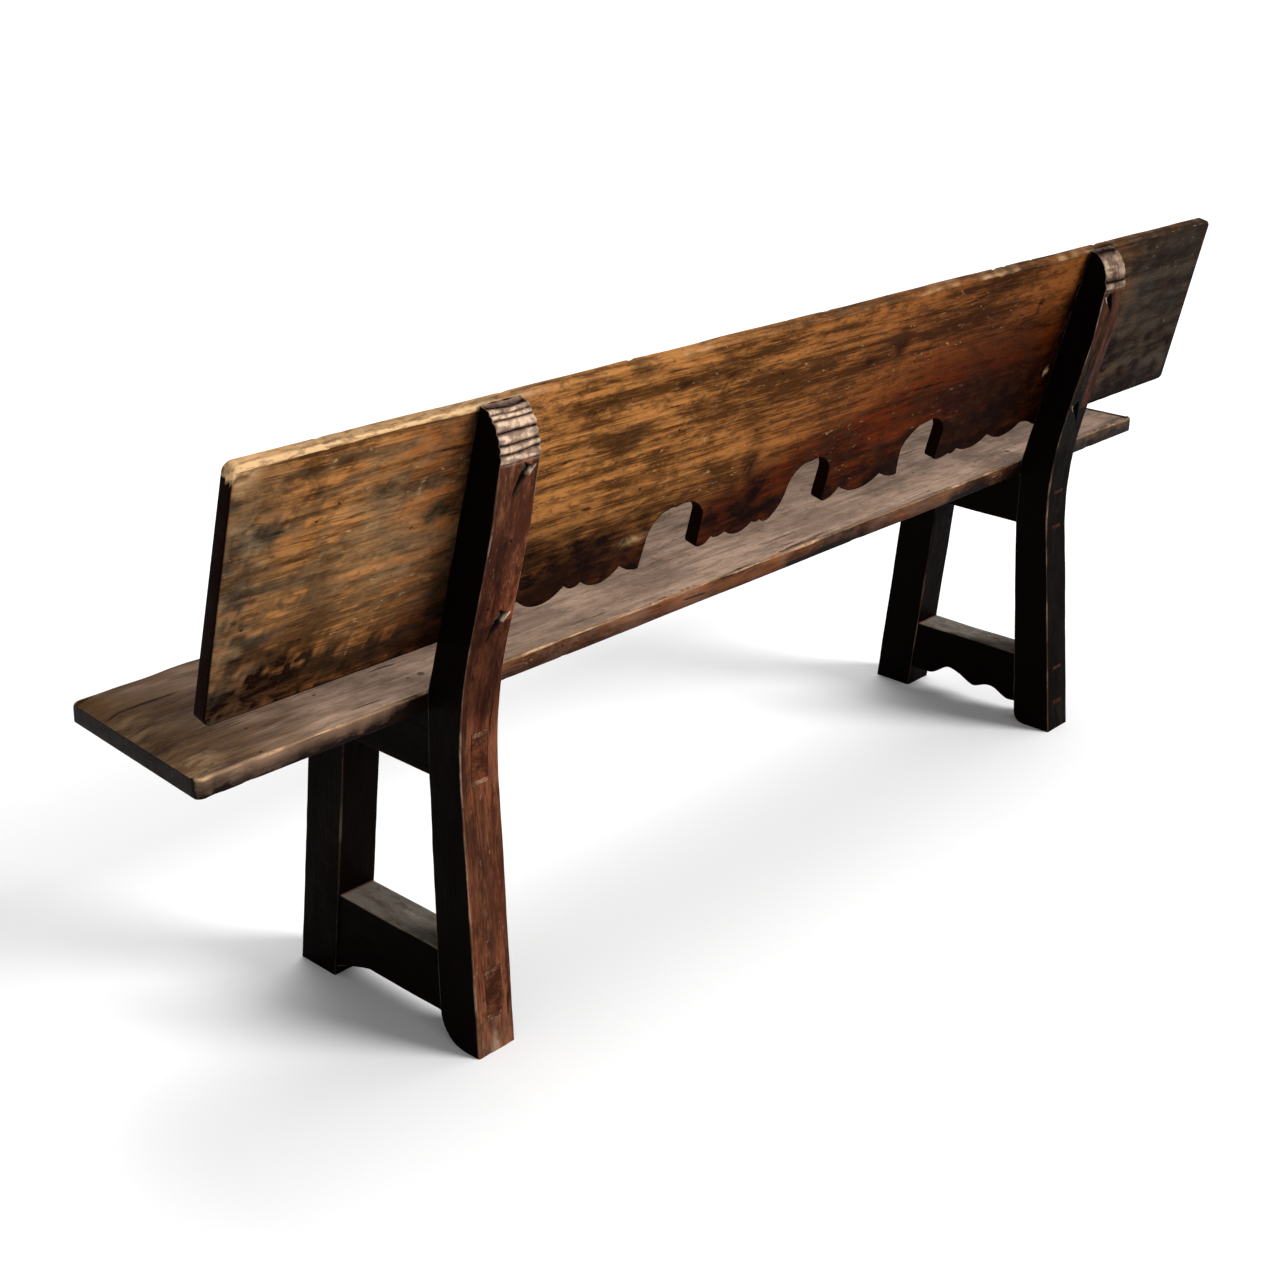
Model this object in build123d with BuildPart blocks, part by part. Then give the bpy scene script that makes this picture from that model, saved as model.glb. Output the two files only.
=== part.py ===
from build123d import *
import os
from math import cos, radians, sin, tan

# A joined plank bench. Two flat trestles, each a curved rear post, a raking front leg and two rails
# on wedged through tenons, carry a nailed seat plank and a sloping back plank with a carved lower edge.
# X runs along the bench, with the sitter's left at +X. The sitter faces -Y, and Z is up from the floor.

# Seat plank
seat_length = 2060.0
seat_depth = 277.0
seat_thickness = 25.0
seat_height = 470.0
seat_skew = 20.0  # the left end is sawn out of square by this much over the depth
seat_corner = 9.0
plank_arris = 2.5  # worn bevel on the planks' upper edges

# Back plank
back_length = 2120.0
back_width = 313.0
back_thickness = 20.0
back_tilt = 14.0
back_gap = 69.0  # from the seat's rear top edge to the back's lower edge, up the slope
back_skew = 32.0  # the right end is shorter at the top than at the bottom by this much
back_corner = 8.0

# Carved lower edge of the back, read from the left post to the right one. A lobe is its width,
# the height of its middle and the height of the cusp that ends it. An arch follows each group but the last.
first_lobes = ((67, 13, 18), (82, 0, 18), (30, 8, 14), (72, 0, 17), (39, 5, 1))
second_lobes = ((27, 1, 11), (30, 6, 11), (59, 0, 12), (19, 7, 11), (24, 3, 8), (20, 17, 38))
third_lobes = ((35, 3, 18), (104, 0, 15), (49, 4, 1))
fourth_lobes = ((36, 1, 5), (21, 2, 9), (89, 0, 15), (96, 0, 14), (52, 11, 0))
arch_widths = (118.0, 102.0, 106.0)
arch_leans = (3.0, 1.0, -11.0)  # how far each arch's left side leans to the right
arch_height = 80.0
tongue_dip = 1.0

# Trestles
trestle_spacing = 1340.0
trestle_thickness = 63.0
rail_thickness = 57.0
upright_arris = 2.0  # worn round on the long edges of posts and legs

# Rear posts
post_depth = 54.0
post_land = 13.0  # flat left on top, behind the back plank
scroll_height = 54.0
scroll_depth = 47.0
scroll_swell = 5.0
scroll_taper = 80.0  # run below the scroll over which the post gains its full depth
left_reeds = (8, 7, 14, 13, 10, 13)
right_reeds = (50, 14)
reed_swell = 2.4
knee_drop = 20.0
knee_radius = 600.0
left_foot_reach = 86.0
right_foot_reach = 100.0
foot_depth = 70.0
left_toe = 42.0
right_toe = 20.0

# Front legs
leg_depth = 70.0
leg_inset = 16.0
leg_splay = 5.3

# Rails and their wedged tenons
bearer_height = 86.0
bearer_tenon_lift = 5.0
stretcher_height = 88.0
stretcher_lift = 36.0
stretcher_tenon_lift = 16.0
spur_drop = 24.0
spur_length = 66.0
scallop_height = 24.0
scallops = ((0.2, 0.0), (0.34, 0.95), (0.46, 0.65), (0.6, 0.0), (0.72, 0.5), (0.8, 0.5), (0.92, -0.15))
tenon_height = 56.0
tenon_thickness = 26.0
wedge_head = 6.0
wedge_tip = 1.5
wedge_length = 36.0
joint_fit = 0.15

# Forged nails, and the gouged pockets of the back nails
nail_shank = 5.0
nail_head = 10.0
nail_head_height = 3.2
nail_head_sides = 8
nail_stop = 4.0  # wood left between a back nail's point and the sitter's side
back_nail_rows = (122.0, 316.0)
back_nail_inset = 11.0
pocket_length = 42.0
pocket_radius = 9.0
pocket_tail = 1.2
pocket_wall = 8.0
pocket_angle = 58.0
seat_nail_rows = (46.0, 118.0)
seat_nail_length = 70.0

slope = radians(back_tilt)
seat_bottom = seat_height - seat_thickness
bearer_bottom = seat_bottom - bearer_height
stretcher_top = stretcher_lift + stretcher_height
back_top = back_gap + back_width
leg_rear_foot = leg_inset + leg_depth - seat_depth
clear_span = trestle_spacing - trestle_thickness
nail_hole = nail_shank + 2 * joint_fit
nail_recess = nail_head / 2 + joint_fit
sides = {"left": 1, "right": -1}
foot_reach = {"left": left_foot_reach, "right": right_foot_reach}
toes = {"left": left_toe, "right": right_toe}
reeding = {"left": left_reeds, "right": right_reeds}


def on_slope(along, behind):
    """Side-view point at a place up the back's slope and behind the posts' front faces."""
    across = along * sin(slope) + behind * cos(slope)
    up = seat_height + along * cos(slope) - behind * sin(slope)
    return across, up


def leg_rear(height):
    """Where a front leg's rear face stands at a height."""
    return leg_rear_foot + height * tan(radians(leg_splay))


def post_front(side, height):
    """Where a rear post's front face stands at a height under the seat."""
    return (foot_reach[side] - foot_depth) * max(1 - height / bearer_bottom, 0)


def post_depth_at(along):
    """Depth of a rear post behind the back plank, which tapers towards the scroll."""
    taper = (along + scroll_height + scroll_taper - back_top) / scroll_taper
    return post_depth - (post_depth - scroll_depth) * max(taper, 0)


def rear_post_face(side):
    """Side view of a rear post: rounded toe, straight front, reeded scroll, knee and heel."""
    scroll_top = on_slope(back_top, post_land)
    scroll_foot = on_slope(back_top - scroll_height, scroll_depth)
    scroll_middle = on_slope(
        back_top - scroll_height / 2 + scroll_swell,
        (post_land + scroll_depth) / 2 + scroll_swell,
    )
    taper_foot = on_slope(back_top - scroll_height - scroll_taper, post_depth)
    knee = (post_depth / cos(slope) - knee_drop * tan(slope), seat_height - knee_drop)
    heel = (foot_reach[side], 0)
    reeds = reeding[side]
    with BuildSketch() as face:
        with BuildLine():
            Polyline(
                heel,
                (post_front(side, 0), 0),
                (0, bearer_bottom),
                (0, seat_height),
                on_slope(back_top, 0),
                scroll_top,
            )
            scroll = ThreePointArc(scroll_top, scroll_middle, scroll_foot, mode=Mode.PRIVATE)
            done = 0
            for reed in reeds:
                start = scroll @ (done / sum(reeds))
                end = scroll @ ((done + reed) / sum(reeds))
                outward = (end - start).rotate(Axis.Z, 90).normalized()
                ThreePointArc(start, (start + end) / 2 + outward * reed_swell, end)
                done += reed
            FilletPolyline(scroll_foot, taper_foot, knee, heel, radius=[knee_radius / 2, knee_radius])
        make_face()
        fillet(face.vertices().sort_by(Axis.Y)[:2].sort_by(Axis.X)[0], radius=toes[side])
    return face.sketch


def front_leg_face():
    """Side view of a front leg, raked under the seat."""
    with BuildSketch() as face:
        with BuildLine():
            Polyline(
                (leg_rear(0) - leg_depth, 0),
                (leg_rear(0), 0),
                (leg_rear(seat_bottom), seat_bottom),
                (leg_rear(seat_bottom) - leg_depth, seat_bottom),
                close=True,
            )
        make_face()
    return face.sketch


def back_face():
    """Outline of the back plank, seen from the rear: first axis to the right from the seat's middle."""
    groups = (first_lobes, second_lobes, third_lobes, fourth_lobes)
    carved = sum(lobe[0] for group in groups for lobe in group) + sum(arch_widths)
    stretch = clear_span / carved
    left_end = -seat_length / 2
    right_end = left_end + back_length
    with BuildSketch() as outline:
        with BuildLine():
            here = Vector(-clear_span / 2, back_gap)
            for number, group in enumerate(groups):
                for width, dip, rise in group:
                    there = Vector(here.X + width * stretch, back_gap + rise)
                    ThreePointArc(here, ((here.X + there.X) / 2, back_gap + dip), there)
                    here = there
                if number < len(arch_widths):
                    width = arch_widths[number] * stretch
                    side = Vector(here.X + arch_leans[number], back_gap + arch_height * 0.5)
                    haunch = Vector(here.X + width * 0.13, back_gap + arch_height * 0.87)
                    crown = Vector(here.X + width * 0.45, back_gap + arch_height)
                    hance = Vector(here.X + width * 0.78, back_gap + arch_height * 0.95)
                    neck = Vector(here.X + width * 0.95, back_gap + arch_height * 0.72)
                    there = Vector(here.X + width, back_gap + tongue_dip)
                    Line(here, side)
                    ThreePointArc(side, haunch, crown)
                    ThreePointArc(crown, hance, neck)
                    Line(neck, there)
                    here = there
            Polyline(
                here,
                (right_end, back_gap),
                (right_end - back_skew, back_top),
                (left_end, back_top),
                (left_end, back_gap),
                (-clear_span / 2, back_gap),
            )
        make_face()
        corners = outline.vertices().sort_by(Axis.X)
        fillet(corners[:2] + corners[-2:], radius=back_corner)
    return outline.sketch


post_faces = {side: rear_post_face(side) for side in sides}
leg_face = front_leg_face()
rear_reach = max(face.bounding_box().max.X for face in post_faces.values())
seat_rear = (seat_depth - rear_reach) / 2
back_outline = back_face()
seat_centre = back_outline.bounding_box().center().X


def trestle_x(side):
    """Middle of a trestle along the bench."""
    return seat_centre + sides[side] * trestle_spacing / 2


def trestle_plane(side):
    """Middle plane of a trestle: first axis to the rear from the seat's rear edge, second axis up."""
    return Plane(origin=(trestle_x(side), seat_rear, 0), x_dir=(0, 1, 0), z_dir=(1, 0, 0))


def slope_plane(x, along, behind):
    """Plane parallel to the back plank and facing the rear, with its second axis up the slope."""
    across, up = on_slope(along, behind)
    return Plane(
        origin=(x, seat_rear + across, up), x_dir=(-1, 0, 0), z_dir=(0, cos(slope), -sin(slope))
    )


def back_nail_planes(side, behind):
    """Plane at each back nail of a trestle, at a depth behind the posts' front faces."""
    x = trestle_x(side) - sides[side] * back_nail_inset
    return [slope_plane(x, row, behind(row)) for row in back_nail_rows]


def back_nail_seat(row):
    """Depth of a back nail's head behind the posts' front faces."""
    return post_depth_at(row) - pocket_radius


def seat_nail_planes(side, height):
    """Level plane at each seat nail of a trestle."""
    return [Plane(origin=(trestle_x(side), seat_rear - row, height)) for row in seat_nail_rows]


def mortise_face(side, low, loose=0.0):
    """Side view of a level band as high as a tenon, running out past both uprights."""
    with BuildSketch() as band:
        with Locations((0, low + tenon_height / 2)):
            Rectangle(2 * (seat_depth + foot_reach[side]), tenon_height + 2 * loose)
    return band.sketch


def tenon_face(side, low):
    """Side view of a through tenon, flush with the leg's front face and the post's rear face."""
    high = low + tenon_height
    with BuildSketch() as trestle:
        add(post_faces[side])
        add(leg_face)
        with BuildLine():
            Polyline(
                (leg_rear(low), low),
                (post_front(side, low), low),
                (post_front(side, high), high),
                (leg_rear(high), high),
                close=True,
            )
        make_face()
    with BuildSketch() as tenon:
        add(mortise_face(side, low))
        add(trestle.sketch, mode=Mode.INTERSECT)
    return tenon.sketch


def wedge_face(low, end, way, loose=0.0):
    """Side view of the wedges above and below a tenon's end, running on past it."""
    tip = end - way * wedge_length
    beyond = end + way * wedge_length
    spread = 2 * wedge_head - wedge_tip
    with BuildSketch() as wedges:
        for edge, up in ((low + tenon_height, 1), (low, -1)):
            with BuildLine():
                Polyline(
                    (tip, edge),
                    (beyond, edge),
                    (beyond, edge + up * (spread + loose)),
                    (tip, edge + up * (wedge_tip + loose)),
                    close=True,
                )
            make_face()
    return wedges.sketch


def upright(side, outline, tenons, way):
    """A post or leg with a flared mortise for each tenon that passes through it."""
    with BuildPart() as blank:
        with BuildSketch(trestle_plane(side)):
            add(outline)
        extrude(amount=trestle_thickness / 2, both=True)
        outer = blank.faces().filter_by(Axis.X).edges()
        fillet(outer.filter_by(lambda edge: edge.bounding_box().size.Z > leg_depth), radius=upright_arris)
        for low, tenon, ends in tenons:
            with BuildSketch(trestle_plane(side)):
                add(mortise_face(side, low, joint_fit))
                add(wedge_face(low, ends[way], way, joint_fit))
            extrude(amount=tenon_thickness / 2 + joint_fit, both=True, mode=Mode.SUBTRACT)
    return blank.part


def rear_post(side, tenons):
    """Rear post with a gouged pocket, a recess and a hole for each back nail."""
    with BuildPart() as post:
        add(upright(side, post_faces[side], tenons, 1))
        for nail in back_nail_planes(side, post_depth_at):
            tail = nail.x_dir * (-sides[side] * cos(radians(pocket_angle)))
            tail -= nail.y_dir * sin(radians(pocket_angle))
            with Locations(Plane(origin=nail.origin - tail * pocket_wall, x_dir=nail.z_dir, z_dir=tail)):
                Cone(
                    pocket_radius,
                    pocket_tail,
                    pocket_length,
                    align=(Align.CENTER, Align.CENTER, Align.MIN),
                    mode=Mode.SUBTRACT,
                )
        with BuildSketch(*back_nail_planes(side, back_nail_seat)):
            RegularPolygon(nail_recess, nail_head_sides)
        extrude(amount=2 * pocket_radius, mode=Mode.SUBTRACT)
        with BuildSketch(*back_nail_planes(side, back_nail_seat)):
            Rectangle(nail_hole, nail_hole)
        extrude(amount=-2 * post_depth, mode=Mode.SUBTRACT)
    return post.part


def rail(side, outline, tenon):
    """A rail of a trestle: its visible length, and a thinner tenon through both uprights."""
    with BuildPart() as bar:
        with BuildSketch(trestle_plane(side)):
            add(outline)
        extrude(amount=rail_thickness / 2, both=True)
        with BuildSketch(trestle_plane(side)):
            add(tenon)
        extrude(amount=tenon_thickness / 2, both=True)
    return bar.part


def bearer_face():
    """Side view of a seat bearer between the leg and the post."""
    with BuildSketch() as face:
        with BuildLine():
            Polyline(
                (leg_rear(bearer_bottom), bearer_bottom),
                (0, bearer_bottom),
                (0, seat_bottom),
                (leg_rear(seat_bottom), seat_bottom),
                close=True,
            )
        make_face()
    return face.sketch


def stretcher_face(side):
    """Side view of a stretcher: the left one has a spur at the leg, the right one is scalloped."""
    start = Vector(leg_rear(stretcher_lift), stretcher_lift)
    end = Vector(post_front(side, stretcher_lift), stretcher_lift)
    with BuildSketch() as face:
        with BuildLine():
            if side == "left":
                spur = Vector(leg_rear(stretcher_lift - spur_drop), stretcher_lift - spur_drop)
                hollow = start + Vector(spur_length, 0)
                ThreePointArc(spur, (spur + hollow) / 2 + Vector(0, spur_drop / 12), hollow)
                Line(hollow, end)
            else:
                spur = start
                wave = [
                    start + (end - start) * along + Vector(0, scallop_height * rise)
                    for along, rise in scallops
                ]
                Spline(start, *wave, end)
            Polyline(
                end,
                (post_front(side, stretcher_top), stretcher_top),
                (leg_rear(stretcher_top), stretcher_top),
                spur,
            )
        make_face()
    return face.sketch


def seat_bearer(side, tenon):
    """Seat bearer with a blind hole under each seat nail."""
    with BuildPart() as bearer:
        add(rail(side, bearer_face(), tenon))
        with BuildSketch(*seat_nail_planes(side, seat_bottom)):
            Rectangle(nail_hole, nail_hole)
        extrude(amount=seat_thickness - seat_nail_length - joint_fit, mode=Mode.SUBTRACT)
    return bearer.part


def wedges(side, face, outline):
    """The pair of wedges at one end of a tenon, with heads flush with the upright's face."""
    with BuildPart() as pair:
        with BuildSketch(trestle_plane(side)):
            add(face)
            add(outline, mode=Mode.INTERSECT)
        extrude(amount=tenon_thickness / 2, both=True)
    return pair.part


def nails(planes, lengths):
    """Nails whose heads stand on the given planes and whose shanks go in behind them."""
    with BuildPart() as group:
        for plane, length in zip(planes, lengths):
            with BuildSketch(plane):
                RegularPolygon(nail_head / 2, nail_head_sides)
            extrude(amount=nail_head_height)
            with BuildSketch(plane):
                Rectangle(nail_shank, nail_shank)
            extrude(amount=-length)
    return group.part


def seat_plank():
    """Seat plank, butted against the posts, with nail holes over both bearers."""
    left_end = seat_centre + seat_length / 2
    right_end = seat_centre - seat_length / 2
    front = seat_rear - seat_depth
    with BuildPart() as seat:
        with BuildSketch(Plane.XY.offset(seat_bottom)) as plan:
            with BuildLine():
                Polyline(
                    (right_end, seat_rear),
                    (left_end, seat_rear),
                    (left_end - seat_skew, front),
                    (right_end, front),
                    close=True,
                )
            make_face()
            fillet(plan.vertices(), radius=seat_corner)
        extrude(amount=seat_thickness)
        chamfer(seat.faces().sort_by(Axis.Z)[-1].edges(), length=plank_arris)
        for side in sides:
            with BuildSketch(*seat_nail_planes(side, seat_height)):
                RegularPolygon(nail_recess, nail_head_sides)
            extrude(amount=-nail_head_height, mode=Mode.SUBTRACT)
            with BuildSketch(*seat_nail_planes(side, seat_height)):
                Rectangle(nail_hole, nail_hole)
            extrude(amount=-2 * seat_thickness, mode=Mode.SUBTRACT)
    return seat.part


def back_plank():
    """Back plank on the posts' front faces, with worn upper edges and blind nail holes."""
    with BuildPart() as back:
        with BuildSketch(slope_plane(seat_centre, 0, 0)):
            add(back_outline)
        extrude(amount=-back_thickness)
        chamfer(back.edges().filter_by(Axis.X).sort_by(SortBy.LENGTH)[-2:], length=plank_arris)
        for side in sides:
            with BuildSketch(*back_nail_planes(side, lambda row: 0)):
                Rectangle(nail_hole, nail_hole)
            extrude(amount=nail_stop - back_thickness - joint_fit, mode=Mode.SUBTRACT)
    return back.part


pieces = {"seat_plank": seat_plank(), "back_plank": back_plank()}
rail_tenons = {
    "bearer": bearer_bottom + bearer_tenon_lift,
    "stretcher": stretcher_lift + stretcher_tenon_lift,
}
for side in sides:
    uprights = {"rear": (1, post_faces[side]), "front": (-1, leg_face)}
    tenons = {}
    for name, low in rail_tenons.items():
        tenon = tenon_face(side, low)
        box = tenon.bounding_box()
        tenons[name] = (low, tenon, {1: box.max.X, -1: box.min.X})
        for end, (way, outline) in uprights.items():
            face = wedge_face(low, tenons[name][2][way], way)
            pieces[f"{side}_{name}_{end}_wedges"] = wedges(side, face, outline)
    pieces[f"{side}_rear_post"] = rear_post(side, tenons.values())
    pieces[f"{side}_front_leg"] = upright(side, leg_face, tenons.values(), -1)
    pieces[f"{side}_seat_bearer"] = seat_bearer(side, tenons["bearer"][1])
    pieces[f"{side}_stretcher"] = rail(side, stretcher_face(side), tenons["stretcher"][1])
    pieces[f"{side}_seat_nails"] = nails(
        seat_nail_planes(side, seat_height - nail_head_height),
        [seat_nail_length - nail_head_height for row in seat_nail_rows],
    )
    pieces[f"{side}_back_nails"] = nails(
        back_nail_planes(side, back_nail_seat),
        [back_nail_seat(row) + back_thickness - nail_stop for row in back_nail_rows],
    )

os.makedirs("parts", exist_ok=True)
for name, piece in pieces.items():
    piece.label = name
    export_step(piece, f"parts/{name}.step")
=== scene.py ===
"""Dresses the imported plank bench: planks, posts, legs and rails as worn surfaces of old waxed wood."""
from math import cos, radians, sin, tan

import bmesh
import bpy
import numpy as np
from mathutils import Matrix, Vector


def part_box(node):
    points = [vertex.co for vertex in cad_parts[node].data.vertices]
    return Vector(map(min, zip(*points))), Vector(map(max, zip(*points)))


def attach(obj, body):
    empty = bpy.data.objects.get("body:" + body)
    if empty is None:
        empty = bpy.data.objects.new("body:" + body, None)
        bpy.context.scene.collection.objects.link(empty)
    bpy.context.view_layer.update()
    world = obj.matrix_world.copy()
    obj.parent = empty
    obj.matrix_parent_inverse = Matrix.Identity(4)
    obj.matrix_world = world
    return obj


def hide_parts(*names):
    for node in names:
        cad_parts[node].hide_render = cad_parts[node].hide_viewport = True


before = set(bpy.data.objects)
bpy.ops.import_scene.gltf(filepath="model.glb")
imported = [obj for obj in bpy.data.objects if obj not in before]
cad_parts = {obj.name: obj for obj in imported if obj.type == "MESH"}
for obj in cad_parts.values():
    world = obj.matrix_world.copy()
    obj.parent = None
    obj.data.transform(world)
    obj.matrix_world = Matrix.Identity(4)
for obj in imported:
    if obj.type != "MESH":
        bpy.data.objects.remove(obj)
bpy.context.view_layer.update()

# Places, in metres. The bench runs along X with the sitter's left at +X, and its rear faces +Y.
# Plank points are (right, up): right of the bench's middle as seen from the rear, and up the plank.
# Side-view points are (behind, height): behind the seat's rear edge, and above the floor.
SIDES = ("left", "right")
seat_low, seat_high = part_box("seat_plank")
SEAT_REAR = seat_high.y
SEAT_TOP = seat_high.z
SEAT_THICKNESS = seat_high.z - seat_low.z
SEAT_DEPTH = seat_high.y - seat_low.y
TRESTLE = {side: sum(corner.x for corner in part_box(f"{side}_rear_post")) / 2 for side in SIDES}
MIDDLE = (TRESTLE["left"] + TRESTLE["right"]) / 2
SEAT_HALF = 1.030
SEAT_SKEW = 0.020
PLANK_CORNER = 0.012
END_ARRIS = 0.003
POST_MIDDLE = 0.67

# Back plank and its carved lower edge: each lobe is its width, the height of its middle and of its end.
BACK_TILT = radians(14)
BACK_LOW = 0.069
BACK_HIGH = 0.382
BACK_THICKNESS = 0.020
BACK_RIGHT = 1.090
BACK_SKEW = 0.032
CARVED_HALF = 0.6385
LOBES = (
    (
        (0.067, 0.013, 0.018), (0.082, 0.0, 0.018), (0.030, 0.008, 0.014),
        (0.072, 0.0, 0.017), (0.039, 0.005, 0.001),
    ),
    (
        (0.027, 0.001, 0.011), (0.030, 0.006, 0.011), (0.059, 0.0, 0.012),
        (0.019, 0.007, 0.011), (0.024, 0.003, 0.008), (0.020, 0.017, 0.038),
    ),
    ((0.035, 0.003, 0.018), (0.104, 0.0, 0.015), (0.049, 0.004, 0.001)),
    (
        (0.036, 0.001, 0.005), (0.021, 0.002, 0.009), (0.089, 0.0, 0.015),
        (0.096, 0.0, 0.014), (0.052, 0.011, 0.0),
    ),
)
ARCHES = ((0.118, 0.003), (0.102, 0.001), (0.106, -0.011))
ARCH_HEIGHT = 0.080
TONGUE_DIP = 0.001

# Posts, legs and rails
HALF_UPRIGHT = 0.0315
HALF_RAIL = 0.0285
POST_DEPTH = 0.054
POST_LAND = 0.013
SCROLL_HEIGHT = 0.054
SCROLL_DEPTH = 0.047
SCROLL_SWELL = 0.005
SCROLL_TAPER = 0.080
SCROLL_START = (0.772, 0.782)
REEDS = {"left": (8, 7, 14, 13, 10, 13), "right": (50, 14)}
REED_SWELL = 0.0024
KNEE_DROP = 0.020
KNEE_RADIUS = 0.600
FOOT_REACH = {"left": 0.086, "right": 0.100}
FOOT_DEPTH = 0.070
TOE = {"left": 0.042, "right": 0.020}
LEG_DEPTH = 0.070
LEG_INSET = 0.016
LEG_SPLAY = radians(5.3)
SEAT_BOTTOM = SEAT_TOP - SEAT_THICKNESS
BEARER_BOTTOM = SEAT_BOTTOM - 0.086
STRETCHER_BOTTOM = 0.036
STRETCHER_TOP = 0.124
TENON_HALF = 0.013
TENON_HEIGHT = 0.056
TENONS = {"bearer": BEARER_BOTTOM + 0.005, "stretcher": STRETCHER_BOTTOM + 0.016}
TENON_SETBACK = 0.0003
WEDGE_HEAD = 0.006
SPUR_DROP = 0.024
SPUR_LENGTH = 0.066
SCALLOP_HEIGHT = 0.024
SCALLOPS = ((0.2, 0.0), (0.34, 0.95), (0.46, 0.65), (0.6, 0.0), (0.72, 0.5), (0.8, 0.5), (0.92, -0.15))
BACK_NAIL_ROWS = (0.122, 0.316)
BACK_NAIL_INSET = 0.011
POCKET_LENGTH = 0.042
POCKET_RADIUS = 0.009
POCKET_TAIL = 0.0012
POCKET_WALL = 0.008
POCKET_ANGLE = radians(58)

# Marks on the back's rear face, each (right, up, half width, half height, strength)
BACK_KNOT = ((0.619, 0.170, 0.012, 0.012, 0.7),)
BACK_CHAFES = ((-0.372, 0.121, 0.022, 0.004, 0.35), (-0.81, 0.22, 0.09, 0.09, 0.11))
BACK_SHADOWS = (
    (-0.56, 0.12, 0.12, 0.08, 0.55), (-0.40, 0.11, 0.14, 0.05, 0.4), (-0.20, 0.12, 0.16, 0.05, 0.4),
)
BACK_STAINS = (
    (-0.729, 0.259, 0.017, 0.011, 1.4), (-0.746, 0.251, 0.012, 0.009, 1.0), (0.145, 0.296, 0.018, 0.014, 0.8),
    (0.074, 0.290, 0.025, 0.012, 0.7), (-0.340, 0.336, 0.022, 0.010, 0.7), (-0.252, 0.318, 0.020, 0.016, 0.8),
    (-0.494, 0.333, 0.050, 0.012, 0.6), (-0.155, 0.179, 0.018, 0.022, 0.6), (0.526, 0.305, 0.004, 0.020, 0.7),
    (0.611, 0.157, 0.030, 0.030, 0.7), (0.392, 0.355, 0.030, 0.008, 0.5), (-0.115, 0.140, 0.030, 0.016, 0.7),
)
BACK_LOW_DARKS = ((-0.53, 0.090, 0.12, 0.034, 0.8), (-0.85, 0.085, 0.22, 0.055, 1.0))
BACK_PATCHES = (
    (-0.913, 0.319, 0.026, 0.018, 1.0), (-0.826, 0.309, 0.022, 0.022, 0.7),
    (-0.958, 0.294, 0.035, 0.016, 0.8), (-0.900, 0.205, 0.034, 0.030, 0.9),
    (-0.937, 0.350, 0.025, 0.010, 0.9), (-0.796, 0.214, 0.040, 0.012, 0.6),
    (-1.000, 0.286, 0.030, 0.030, 0.8), (-1.005, 0.190, 0.025, 0.050, 0.7),
    (-0.434, 0.279, 0.035, 0.020, 0.6),
)
BACK_CORNER_DARKS = ((-0.97, 0.16, 0.10, 0.08, 0.42),)
BACK_BURN = ((-0.735, 0.258, 0.016, 0.010, 1.3), (-0.750, 0.250, 0.010, 0.008, 0.9))

# The photo's camera: its place in metres, its angles, and its focal length and picture width in pixels
CAMERA_PLACE = (2.12353, 1.63656, 1.40020)
CAMERA_TURN, CAMERA_TIP, CAMERA_ROLL = radians(48.524), radians(-18.593), radians(1.292)
CAMERA_FOCAL = 1909.24
PHOTO_WIDTH = 1280
FLOOR_REACH = 150.0


def smooth(low, high, value):
    """0 below low, 1 above high and an S-shaped rise between them."""
    share = np.clip((value - low) / (high - low), 0, 1)
    return share * share * (3 - 2 * share)


def ripple(points, lengths, seed, waves=16):
    """Smooth random relief of about unit size: a sum of cosines of random direction and phase, whose
    wavelengths along each axis are near the given lengths."""
    chance = np.random.default_rng(seed)
    rates = chance.normal(size=(waves, len(lengths))) * 3.0 / np.array(lengths)
    phases = chance.uniform(0, 2 * np.pi, waves)
    return np.cos(points @ rates.T + phases).sum(-1) / np.sqrt(waves / 2)


def spots(points, marks):
    """Sum of soft oval spots on a face, each (right, up, half width, half height, strength)."""
    total = np.zeros(points.shape[:-1])
    for right, up, wide, high, strength in marks:
        apart = ((points[..., 0] - right) / wide) ** 2 + ((points[..., 1] - up) / high) ** 2
        total += strength * np.exp(-apart)
    return total


def arc(start, middle, end, step=0.0015):
    """Points on the circle through three points, from the first to the last."""
    corners = np.array([start, middle, end], float)
    chords = np.diff(corners, axis=0)
    squares = np.diff((corners ** 2).sum(1)) / 2
    centre = np.linalg.solve(chords, squares)
    spokes = corners - centre
    angles = np.unwrap(np.arctan2(spokes[:, 1], spokes[:, 0]))
    radius = np.linalg.norm(spokes[0])
    count = max(int(radius * abs(angles[2] - angles[0]) / step), 3)
    turn = np.linspace(angles[0], angles[2], count)
    return centre + radius * np.stack([np.cos(turn), np.sin(turn)], 1)


def rounded(before, corner, after, radius):
    """Points on the arc of a radius that touches both sides of a corner."""
    before, corner, after = (np.array(point, float) for point in (before, corner, after))
    back = (before - corner) / np.linalg.norm(before - corner)
    onward = (after - corner) / np.linalg.norm(after - corner)
    half = np.arccos(np.clip(back @ onward, -1, 1)) / 2
    inward = (back + onward) / np.linalg.norm(back + onward)
    middle = corner + inward * radius * (1 / np.sin(half) - 1)
    return arc(corner + back * radius / np.tan(half), middle, corner + onward * radius / np.tan(half))


def evenly(points, step):
    """The same line with points a step apart along it."""
    run = np.concatenate([[0], np.cumsum(np.linalg.norm(np.diff(points, axis=0), axis=1))])
    places = np.linspace(0, run[-1], int(run[-1] / step) + 1)
    return np.stack([np.interp(places, run, points[:, axis]) for axis in range(2)], 1)


def blurred(values, spread, reach):
    """Values blurred along their line by a bell curve. They come with reach more of them at either end."""
    bell = np.exp(-(np.arange(-reach, reach + 1) / spread) ** 2 / 2)
    return np.convolve(values, bell / bell.sum(), "valid")


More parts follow.
